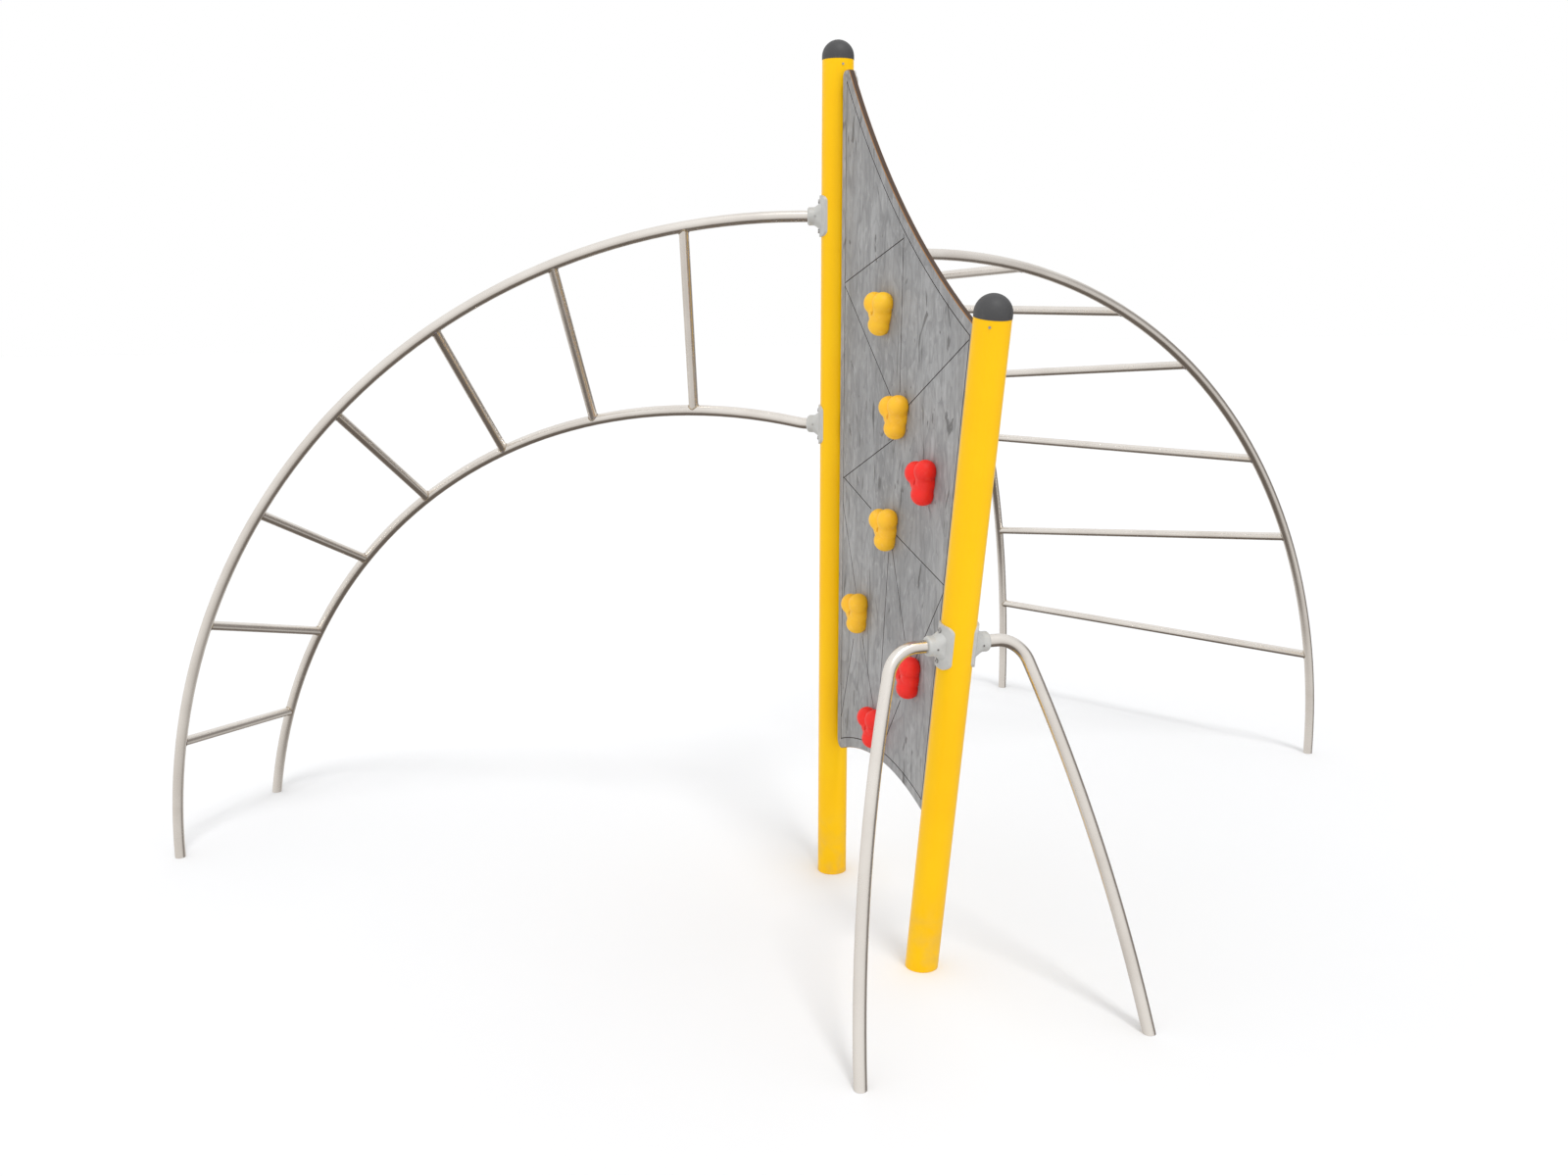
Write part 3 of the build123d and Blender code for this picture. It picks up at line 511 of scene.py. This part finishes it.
@dataclass(frozen=True)
class BoardFilm:
    """Grey wood-look film on a brown layered board with dark cut lines."""

    name: str = "wall_board"
    face: float = 0.0098
    core: float = 0.0080
    fade: float = 0.0001
    ply_waves: float = 2200.0
    light: tuple = (0.395, 0.397, 0.400)
    mid: tuple = (0.300, 0.301, 0.304)
    dark: tuple = (0.180, 0.180, 0.183)
    pale: tuple = (0.480, 0.480, 0.485)
    knot: tuple = (0.105, 0.102, 0.100)
    line: tuple = (0.022, 0.012, 0.008)
    bevel: tuple = (0.34, 0.150, 0.035)
    ply: tuple = (0.090, 0.042, 0.017)
    ply_dark: tuple = (0.035, 0.017, 0.008)

    def material(self) -> bpy.types.Material:
        """Build the finish.

        Returns:
            The finished material.
        """
        g = Graph(self.name)
        fibre = g.noise(60.0, 9.0, (1.0, 1.0, 0.045), 0.3)
        tone = self.film(g, fibre)
        depth = g.calc("ABSOLUTE", g.axis("X"))
        tone = g.mix(g.span(depth, self.face, self.face - 2 * self.fade), tone, self.line)
        wood = self.layers(g, fibre)
        inside = g.span(depth, self.core + self.fade, self.core - self.fade)
        tone = g.mix(inside, tone, wood)
        turned = g.facing("X")
        slanted = g.calc("MULTIPLY", g.span(turned, 0.50, 0.60), g.span(turned, 0.90, 0.80))
        tone = g.mix(slanted, tone, self.bevel)
        rough = g.calc("ADD", 0.46, g.calc("MULTIPLY", fibre, 0.24))
        g.set(Base_Color=tone, Roughness=rough)
        g.bump([(fibre, 0.18, 0.0006), (g.noise(240.0, 4.0, (1.0, 1.0, 0.2)), 0.10, 0.0004)])
        return g.material

    def film(self, g: Graph, fibre: bpy.types.NodeSocket) -> bpy.types.NodeSocket:
        """Printed wood pattern of the film.

        Args:
            g: The material being wired.
            fibre: Fine upright fibres.

        Returns:
            The colour socket.
        """
        clouds = g.noise(2.4, 4.0, (1.0, 1.5, 0.6), 1.0)
        tone = g.mix(g.ramp(clouds, [(0.36, 0.0), (0.64, 1.0)]), self.mid, self.light)
        sheets = g.noise(2.1, 0.0, (1.0, 2.6, 0.8), 2.5)
        tone = g.mix(g.ramp(sheets, [(0.48, 0.0), (0.49, 0.45), (0.66, 0.0)]), tone, self.dark)
        tone = g.mix(g.ramp(fibre, [(0.38, 0.28), (0.60, 0.0)]), tone, self.dark)
        mottle = g.noise(38.0, 7.0, (1.0, 1.0, 0.45), 1.2)
        tone = g.mix(g.ramp(mottle, [(0.36, 0.35), (0.52, 0.0)]), tone, self.dark)
        tone = g.mix(g.ramp(mottle, [(0.56, 0.0), (0.70, 0.45)]), tone, self.pale)
        cracks = g.noise(13.0, 8.0, (1.0, 1.0, 0.16), 2.2)
        tone = g.mix(g.ramp(cracks, [(0.29, 0.9), (0.36, 0.0)]), tone, self.knot)
        knots = g.ramp(g.noise(6.5, 3.0, (1.0, 1.3, 0.8), 2.6), [(0.66, 0.0), (0.71, 0.75)])
        return g.mix(knots, tone, self.knot)

    def layers(self, g: Graph, fibre: bpy.types.NodeSocket) -> bpy.types.NodeSocket:
        """Brown plies seen on the cut edge.

        Args:
            g: The material being wired.
            fibre: Fine upright fibres.

        Returns:
            The colour socket.
        """
        plies = g.calc("SINE", g.calc("MULTIPLY", g.axis("X"), self.ply_waves))
        wood = g.mix(g.span(plies, -1.0, 1.0), self.ply, self.ply_dark)
        return g.mix(g.calc("MULTIPLY", fibre, 0.35), wood, self.ply_dark)


@dataclass(frozen=True)
class WeldTint:
    """Weld metal: rippled, with straw and blue heat colours."""

    name: str = "weld_bead"

    def material(self) -> bpy.types.Material:
        """Build the finish.

        Returns:
            The finished material.
        """
        g = Graph(self.name)
        heat = g.noise(70.0, 3.0)
        tone = g.ramp(heat, [
            (0.36, (0.50, 0.48, 0.45)),
            (0.50, (0.46, 0.36, 0.22)),
            (0.62, (0.30, 0.27, 0.32)),
        ])
        rough = g.calc("ADD", 0.34, g.calc("MULTIPLY", heat, 0.2))
        g.set(Base_Color=tone, Metallic=1.0, Roughness=rough)
        g.bump([(g.noise(600.0, 3.0), 0.2, 0.0005)])
        return g.material


# ------------------------------------------------------------------ modelling
def lone(obj: bpy.types.Object) -> bpy.types.Object:
    """Make one object the only selected and the active one.

    Args:
        obj: The object.

    Returns:
        The same object.
    """
    bpy.ops.object.select_all(action="DESELECT")
    obj.select_set(True)
    bpy.context.view_layer.objects.active = obj
    return obj


def settle(obj: bpy.types.Object) -> bpy.types.Object:
    """Apply an object's place, turn and scale to its mesh.

    Args:
        obj: The object.

    Returns:
        The same object.
    """
    lone(obj)
    bpy.ops.object.transform_apply(location=True, rotation=True, scale=True)
    return obj


def joined(parts: Sequence[bpy.types.Object], name: str) -> bpy.types.Object:
    """Join meshes into one object.

    Args:
        parts: Objects to join.
        name: Name of the result.

    Returns:
        The joined object.
    """
    bpy.ops.object.select_all(action="DESELECT")
    for part in parts:
        part.select_set(True)
    bpy.context.view_layer.objects.active = parts[0]
    if len(parts) > 1:
        bpy.ops.object.join()
    parts[0].name = name
    parts[0].data.name = name
    return parts[0]


def apply_all(obj: bpy.types.Object) -> bpy.types.Object:
    """Apply an object's modifiers in order.

    Args:
        obj: The object.

    Returns:
        The same object.
    """
    lone(obj)
    for modifier in list(obj.modifiers):
        bpy.ops.object.modifier_apply(modifier=modifier.name)
    return obj


def smooth(obj: bpy.types.Object) -> bpy.types.Object:
    """Shade a mesh smooth.

    Args:
        obj: The object.

    Returns:
        The same object.
    """
    lone(obj)
    bpy.ops.object.shade_smooth()
    return obj


def place_vertices(obj: bpy.types.Object, points: Sequence[Vector]) -> None:
    """Move every vertex of a mesh to a given point.

    Args:
        obj: The object.
        points: One point for each vertex.
    """
    flat = [c for p in points for c in p]
    obj.data.vertices.foreach_set("co", flat)
    obj.data.update()


def outward(obj: bpy.types.Object) -> bpy.types.Object:
    """Turn all faces of a closed mesh outwards.

    Args:
        obj: The object.

    Returns:
        The same object.
    """
    lone(obj)
    bpy.ops.object.mode_set(mode="EDIT")
    bpy.ops.mesh.select_all(action="SELECT")
    bpy.ops.mesh.normals_make_consistent(inside=False)
    bpy.ops.object.mode_set(mode="OBJECT")
    return obj


def finish_piece(
    obj: bpy.types.Object, material: bpy.types.Material, slot: Slot
) -> bpy.types.Object:
    """Give a new piece its material, slot and body.

    Args:
        obj: The object.
        material: Finish of the piece.
        slot: Record slot of the piece.

    Returns:
        The same object.
    """
    obj.data.materials.clear()
    obj.data.materials.append(material)
    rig.ride(obj, BODY)
    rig.slot(obj, slot.value)
    return obj


def dress(nodes: Iterable[str], material: bpy.types.Material) -> None:
    """Give carried-over CAD nodes their material."""
    for name in nodes:
        mesh = frame["nodes"][name].data
        mesh.materials.clear()
        mesh.materials.append(material)


# ------------------------------------------------------------------ ladders
@dataclass(frozen=True)
class RailArc:
    """Centre line of one rail: an arc in a vertical plane through the post."""

    azimuth: float
    centre: float
    height: float
    radius: float
    nudge: float = 0.05

    def point(self, angle: float) -> Vector:
        """Point of the arc at an angle in degrees above the horizontal.

        Args:
            angle: Degrees above the horizontal.

        Returns:
            The point, in metres.
        """
        t, a = math.radians(angle), math.radians(self.azimuth)
        r = self.centre + self.radius * math.cos(t)
        return Vector(
            (r * math.cos(a), r * math.sin(a), self.height + self.radius * math.sin(t))
        )

    def tangent(self, angle: float) -> Vector:
        """Unit direction of the arc at an angle."""
        ahead, behind = self.point(angle + self.nudge), self.point(angle - self.nudge)
        return (ahead - behind).normalized()


@dataclass
class ArchLadder:
    """One arch: two rails, its rungs and their welds."""

    name: str
    rails: tuple
    rungs: str
    arcs: tuple
    angles: Sequence[tuple]
    steel: bpy.types.Material
    weld: bpy.types.Material
    rail_radius: float = 0.0212
    rung_radius: float = 0.019
    bead: float = 0.0026
    around: int = 72
    section: int = 8
    ripples: int = 18
    ripple: float = 0.16

    def build(self) -> None:
        """Dress the tubes and model the weld beads."""
        count = len(self.angles)
        dress((*self.rails, *(f"{self.rungs}_{i + 1}" for i in range(count))), self.steel)
        beads = []
        for first, second in self.angles:
            ends = (self.arcs[0].point(first), self.arcs[1].point(second))
            turns = (self.arcs[0].tangent(first), self.arcs[1].tangent(second))
            along = (ends[1] - ends[0]).normalized()
            beads.append(self.ring(ends[0], along, turns[0]))
            beads.append(self.ring(ends[1], -along, turns[1]))
        welds = outward(smooth(joined(beads, f"{self.name}_welds")))
        finish_piece(welds, self.weld, Slot.STEEL)
        LOG.info("%s: %d rungs, %d welds", self.name, count, len(beads))

    def ring(self, start: Vector, along: Vector, rail: Vector) -> bpy.types.Object:
        """Model one rippled bead around the end of a rung.

        Args:
            start: Where the rung's axis meets the rail's.
            along: Unit direction from there along the rung.
            rail: Unit direction of the rail.

        Returns:
            The bead as a closed mesh.
        """
        around, section = self.around, self.section
        bpy.ops.mesh.primitive_torus_add(
            major_segments=around, minor_segments=section,
            major_radius=self.rung_radius, minor_radius=self.bead,
        )
        obj = bpy.context.active_object
        side = along.cross(rail).normalized()
        up = side.cross(along).normalized()
        spine = [self.seam(start, along, rail, side, up, i / around) for i in range(around)]
        points = []
        for i in range(around):
            turn = 2 * math.pi * i / around
            out = side * math.cos(turn) + up * math.sin(turn)
            ahead = (spine[(i + 1) % around] - spine[i - 1]).normalized()
            lift = ahead.cross(out).normalized()
            size = self.bead * (1.0 + self.ripple * math.cos(self.ripples * turn))
            for j in range(section):
                roll = 2 * math.pi * j / section
                points.append(
                    spine[i] + out * (size * math.cos(roll)) + lift * (size * math.sin(roll))
                )
        place_vertices(obj, points)
        return settle(obj)

    def seam(
        self, start: Vector, along: Vector, rail: Vector, side: Vector, up: Vector, part: float
    ) -> Vector:
        """Point where the rung's skin meets the rail's.

        Args:
            start: Where the two axes meet.
            along: Unit direction of the rung.
            rail: Unit direction of the rail.
            side: Unit direction across both.
            up: Unit direction across the rung, in the plane of both.
            part: Share of the way around the rung.

        Returns:
            The point, in metres.
        """
        turn = 2 * math.pi * part
        skin = start + (side * math.cos(turn) + up * math.sin(turn)) * self.rung_radius
        flat = skin - start
        flat -= rail * flat.dot(rail)
        step = along - rail * along.dot(rail)
        a, b = step.dot(step), 2 * flat.dot(step)
        c = flat.dot(flat) - self.rail_radius ** 2
        root = math.sqrt(max(b * b - 4 * a * c, 0.0))
        return skin + along * ((-b + root) / (2 * a))


# ------------------------------------------------------------------ holds
@dataclass(frozen=True)
class Bulb:
    """One rounded swelling of a hold: its middle and its half sizes."""

    middle: tuple
    half: tuple

    def model(self) -> bpy.types.Object:
        """Model the bulb as a stretched sphere."""
        bpy.ops.mesh.primitive_uv_sphere_add(
            segments=64, ring_count=32, radius=1.0, location=self.middle, scale=self.half
        )
        return settle(bpy.context.active_object)


@dataclass
class HoldShape:
    """Three-lobed climbing hold with a bolt well, its out along +Z."""

    bulbs: tuple = (
        Bulb((-0.0370, 0.0325, 0.026), (0.0385, 0.0390, 0.0375)),
        Bulb((0.0370, 0.0325, 0.026), (0.0385, 0.0390, 0.0375)),
        Bulb((0.0, -0.0390, 0.022), (0.0430, 0.0385, 0.0400)),
        Bulb((-0.0230, 0.0040, 0.018), (0.0330, 0.0480, 0.0350)),
        Bulb((0.0230, 0.0040, 0.018), (0.0330, 0.0480, 0.0350)),
        Bulb((0.0, -0.0180, 0.016), (0.0400, 0.0420, 0.0390)),
    )
    voxel: float = 0.0022
    soften: int = 40
    soften_by: float = 0.5
    well: float = 0.0090
    seat: float = 0.0225
    tall: float = 0.080

    def model(self) -> bpy.types.Object:
        """Sculpt the hold lying on the plane Z = 0.

        Returns:
            The finished mesh, in the hold's own frame.
        """
        body = joined([bulb.model() for bulb in self.bulbs], "hold_shape")
        blend = body.modifiers.new("blend", "REMESH")
        blend.mode = "VOXEL"
        blend.voxel_size = self.voxel
        soften = body.modifiers.new("soften", "SMOOTH")
        soften.factor = self.soften_by
        soften.iterations = self.soften
        apply_all(body)
        self.flatten(body)
        self.drill(body)
        return smooth(body)

    def flatten(self, body: bpy.types.Object) -> None:
        """Cut the hold flat where it meets the wall.

        Args:
            body: The hold.
        """
        lone(body)
        bpy.ops.object.mode_set(mode="EDIT")
        bpy.ops.mesh.select_all(action="SELECT")
        bpy.ops.mesh.bisect(
            plane_co=(0.0, 0.0, 0.0), plane_no=(0.0, 0.0, 1.0), use_fill=True, clear_inner=True
        )
        bpy.ops.mesh.select_all(action="SELECT")
        bpy.ops.mesh.normals_make_consistent(inside=False)
        bpy.ops.object.mode_set(mode="OBJECT")

    def drill(self, body: bpy.types.Object) -> None:
        """Cut the bolt well with a boolean.

        Args:
            body: The hold.
        """
        bpy.ops.mesh.primitive_cylinder_add(
            vertices=48, radius=self.well, depth=self.tall,
            location=(0.0, 0.0, self.seat + self.tall / 2),
        )
        cutter = settle(bpy.context.active_object)
        cut = body.modifiers.new("well", "BOOLEAN")
        cut.operation = "DIFFERENCE"
        cut.solver = "EXACT"
        cut.object = cutter
        apply_all(body)
        bpy.data.objects.remove(cutter)


@dataclass
class ClimbingHold:
    """One climbing hold in its place on the wall."""

    node: str
    across: float
    height: float
    turn: float
    face: float = -0.010

    def build(
        self, shape: bpy.types.Object, material: bpy.types.Material, slot: Slot
    ) -> None:
        """Copy the sculpted shape onto the wall.

        Args:
            shape: The hold in its own frame.
            material: Finish of the hold.
            slot: Record slot of the hold.
        """
        lone(shape)
        bpy.ops.object.duplicate()
        obj = bpy.context.active_object
        spin = Matrix.Rotation(math.radians(self.turn), 4, "Z")
        wall = Matrix((
            (0.0, 0.0, -1.0, self.face),
            (-1.0, 0.0, 0.0, -self.across),
            (0.0, 1.0, 0.0, self.height),
            (0.0, 0.0, 0.0, 1.0),
        ))
        obj.data.transform(wall @ spin)
        obj.name = obj.data.name = f"{self.node}_shell"
        finish_piece(obj, material, slot)
        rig.replaces(obj, self.node)
        LOG.info("%s at %.3f, %.3f", self.node, self.across, self.height)


# ------------------------------------------------------------------ studio
@dataclass
class Studio:
    """Floor, daylight room and camera."""

    eye: tuple = (-1.9431, -5.0284, 2.3396)
    azimuth: float = 70.944
    pitch: float = 12.245
    focal: float = 1443.15
    width: float = 1600.0
    sensor: float = 36.0
    floor_size: float = 90.0
    floor_drop: float = 0.0005
    room: tuple = (
        (0.00, (0.160, 0.138, 0.120)),
        (0.12, (0.180, 0.156, 0.138)),
        (0.20, (0.700, 0.680, 0.660)),
        (0.50, (0.930, 0.920, 0.910)),
        (0.80, (1.000, 1.000, 1.000)),
    )
    sides: tuple = (
        (0.00, (1.00, 1.00, 1.00)),
        (0.70, (0.98, 0.98, 0.98)),
        (0.90, (0.86, 0.86, 0.86)),
        (0.96, (0.28, 0.26, 0.25)),
    )
    strength: float = 1.0
    sun_way: tuple = (-0.03, 0.55, -1.0)
    sun_power: float = 0.90
    sun_spread: float = 12.0

    def build(self) -> None:
        """Set the stage."""
        bpy.context.scene.view_settings.view_transform = "Standard"
        self.floor()
        self.world()
        self.sun()
        self.camera()

    def floor(self) -> None:
        """Large pale floor that keeps out of the gloss on the tubes."""
        bpy.ops.mesh.primitive_plane_add(
            size=self.floor_size, location=(0, 0, -self.floor_drop)
        )
        floor = settle(bpy.context.active_object)
        floor.name = "studio_floor"
        floor.visible_glossy = False
        g = Graph("studio_floor")
        tone = g.mix(g.noise(1.2, 4.0), (0.855, 0.862, 0.875), (0.870, 0.875, 0.885))
        g.set(Base_Color=tone, Roughness=0.95)
        g.shader.inputs["Specular IOR Level"].default_value = 0.1
        floor.data.materials.append(g.material)
        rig.stage(floor)

    def world(self) -> None:
        """White backdrop, and a room that is bright above and dim at the horizon."""
        world = bpy.data.worlds.new("studio")
        world.use_nodes = True
        bpy.context.scene.world = world
        tree = world.node_tree
        room = tree.nodes["Background"]
        split = tree.nodes.new("ShaderNodeSeparateXYZ")
        coords = tree.nodes.new("ShaderNodeTexCoord")
        tree.links.new(coords.outputs["Generated"], split.inputs["Vector"])
        mixed = tree.nodes.new("ShaderNodeMix")
        mixed.data_type = "RGBA"
        mixed.blend_type = "MULTIPLY"
        mixed.inputs[0].default_value = 1.0
        tree.links.new(self.toned(tree, split.outputs["Z"], self.room), mixed.inputs[6])
        tree.links.new(self.toned(tree, split.outputs["X"], self.sides), mixed.inputs[7])
        tree.links.new(mixed.outputs[2], room.inputs["Color"])
        room.inputs["Strength"].default_value = self.strength
        backdrop = tree.nodes.new("ShaderNodeBackground")
        path = tree.nodes.new("ShaderNodeLightPath")
        mix = tree.nodes.new("ShaderNodeMixShader")
        backdrop.inputs["Color"].default_value = (1.0, 1.0, 1.0, 1.0)
        tree.links.new(path.outputs["Is Camera Ray"], mix.inputs["Fac"])
        tree.links.new(room.outputs["Background"], mix.inputs[1])
        tree.links.new(backdrop.outputs["Background"], mix.inputs[2])
        tree.links.new(mix.outputs["Shader"], tree.nodes["World Output"].inputs["Surface"])

    @staticmethod
    def toned(
        tree: bpy.types.NodeTree, value: bpy.types.NodeSocket, stops: tuple
    ) -> bpy.types.NodeSocket:
        """Turn one direction component, -1 to 1, into a colour.

        Args:
            tree: Node tree of the world.
            value: Socket of the component.
            stops: Pairs of position, 0 to 1, and colour.

        Returns:
            The colour socket.
        """
        level = tree.nodes.new("ShaderNodeMapRange")
        tree.links.new(value, level.inputs["Value"])
        level.inputs["From Min"].default_value = -1.0
        ramp = tree.nodes.new("ShaderNodeValToRGB")
        tree.links.new(level.outputs["Result"], ramp.inputs["Fac"])
        elements = ramp.color_ramp.elements
        while len(elements) < len(stops):
            elements.new(0.5)
        for element, (place, tone) in zip(elements, stops):
            element.position = place
            element.color = (*tone, 1.0)
        return ramp.outputs["Color"]

    def sun(self) -> None:
        """Broad high sun from the front."""
        data = bpy.data.lights.new("sun", "SUN")
        data.energy = self.sun_power
        data.angle = math.radians(self.sun_spread)
        lamp = bpy.data.objects.new("sun", data)
        bpy.context.scene.collection.objects.link(lamp)
        lamp.rotation_euler = Vector(self.sun_way).to_track_quat("-Z", "Y").to_euler()
        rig.stage(lamp)

    def camera(self) -> None:
        """Camera with the wall seen from its climbing side."""
        data = bpy.data.cameras.new("camera")
        data.sensor_width = self.sensor
        data.lens = self.focal / self.width * self.sensor
        data.clip_end = 200.0
        camera = bpy.data.objects.new("camera", data)
        bpy.context.scene.collection.objects.link(camera)
        camera.location = self.eye
        camera.rotation_euler = (
            math.radians(90.0 - self.pitch), 0.0, math.radians(self.azimuth - 90.0)
        )
        bpy.context.scene.camera = camera


# ------------------------------------------------------------------ the climber
@dataclass
class DomeClimber:
    """The whole object."""

    left_arcs: tuple = (
        RailArc(158.3, 0.135, 0.0, 2.573),
        RailArc(141.7, 0.535, -0.381, 2.225),
    )
    right_arcs: tuple = (
        RailArc(11.5, 0.420, 0.0, 2.441),
        RailArc(48.5, 0.420, 0.0, 2.441),
    )
    left_rungs: int = 7
    left_first: tuple = (80.3, 88.8)
    left_step: tuple = (11.52, 11.35)
    right_angles: tuple = (
        (78.8, 74.6), (65.0, 65.0), (54.1, 50.1), (38.8, 38.8), (27.8, 23.4), (12.3, 12.3),
    )
    holds: tuple = (
        ClimbingHold("hold_yellow_1", 0.494, 2.233, 0.0),
        ClimbingHold("hold_yellow_2", 0.640, 1.894, 6.0),
        ClimbingHold("hold_yellow_3", 0.568, 1.498, 8.0),
        ClimbingHold("hold_yellow_4", 0.313, 1.144, 12.0),
        ClimbingHold("hold_red_1", 0.869, 1.702, 10.0),
        ClimbingHold("hold_red_2", 0.779, 1.024, 10.0),
        ClimbingHold("hold_red_3", 0.480, 0.752, 8.0),
    )

    def build(self) -> None:
        """Dress and model everything."""
        nodes = list(frame["nodes"])
        steel = SatinSteel().material()
        weld = WeldTint().material()
        dress(("tall_post", "short_post"), PowderCoat().material())
        cap = MouldedPlastic(
            "cap_plastic", (0.052, 0.052, 0.054), (0.062, 0.062, 0.064), (0.16, 0.155, 0.15), 0.55
        )
        dress((n for n in nodes if n.endswith("_cap")), cap.material())
        castings = [
            n for n in nodes if n.endswith("_clamp") or n[:-2].endswith("_bracket")
        ]
        dress(castings, CastGrey().material())
        dress(("wall_panel",), BoardFilm().material())
        dress(("left_leg", "right_leg"), steel)
        screws = SatinSteel("fastener", (0.52, 0.51, 0.50), (0.34, 0.33, 0.32), 0.30, 900.0)
        dress(
            ("cap_screws", "clamp_screws", "set_screws", "bracket_screws",
             "hold_bolts", "hold_tee_nuts", "wall_screws", "wall_inserts"),
            screws.material(),
        )
        left = [
            tuple(first - i * step for first, step in zip(self.left_first, self.left_step))
            for i in range(self.left_rungs)
        ]
        ArchLadder(
            "left_arch", ("left_arch_upper_rail", "left_arch_lower_rail"), "left_rung",
            self.left_arcs, left, steel, weld,
        ).build()
        ArchLadder(
            "right_arch", ("right_arch_near_rail", "right_arch_far_rail"), "right_rung",
            self.right_arcs, self.right_angles, steel, weld,
        ).build()
        self.build_holds()

    def build_holds(self) -> None:
        """Sculpt the seven holds."""
        yellow = MouldedPlastic(
            "hold_yellow", (1.0, 0.565, 0.012), (1.0, 0.510, 0.010), (1.0, 0.72, 0.32), 0.5,
            scatter=0.05,
        ).material()
        red = MouldedPlastic(
            "hold_red", (0.98, 0.014, 0.004), (0.88, 0.010, 0.004), (0.85, 0.16, 0.10), 0.5,
            scatter=0.05,
        ).material()
        shape = HoldShape().model()
        for hold in self.holds:
            is_red = "red" in hold.node
            hold.build(shape, red if is_red else yellow, Slot.RED if is_red else Slot.YELLOW)
        bpy.data.objects.remove(shape)


def record_size(label: str) -> None:
    """Args:
        label: Which of the two measurements this is.
    """
    low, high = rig.bounds()
    sizes = {}
    if label != "loaded":
        with open(SIZE_FILE) as file:
            sizes = json.load(file)
    sizes[label] = [list(low), list(high)]
    with open(SIZE_FILE, "w") as file:
        json.dump(sizes, file)


def main() -> None:
    """Build the whole scene."""
    logging.basicConfig(level=logging.INFO)
    record_size("loaded")
    DomeClimber().build()
    Studio().build()
    record_size("finished")


if __name__ == "__main__":
    main()
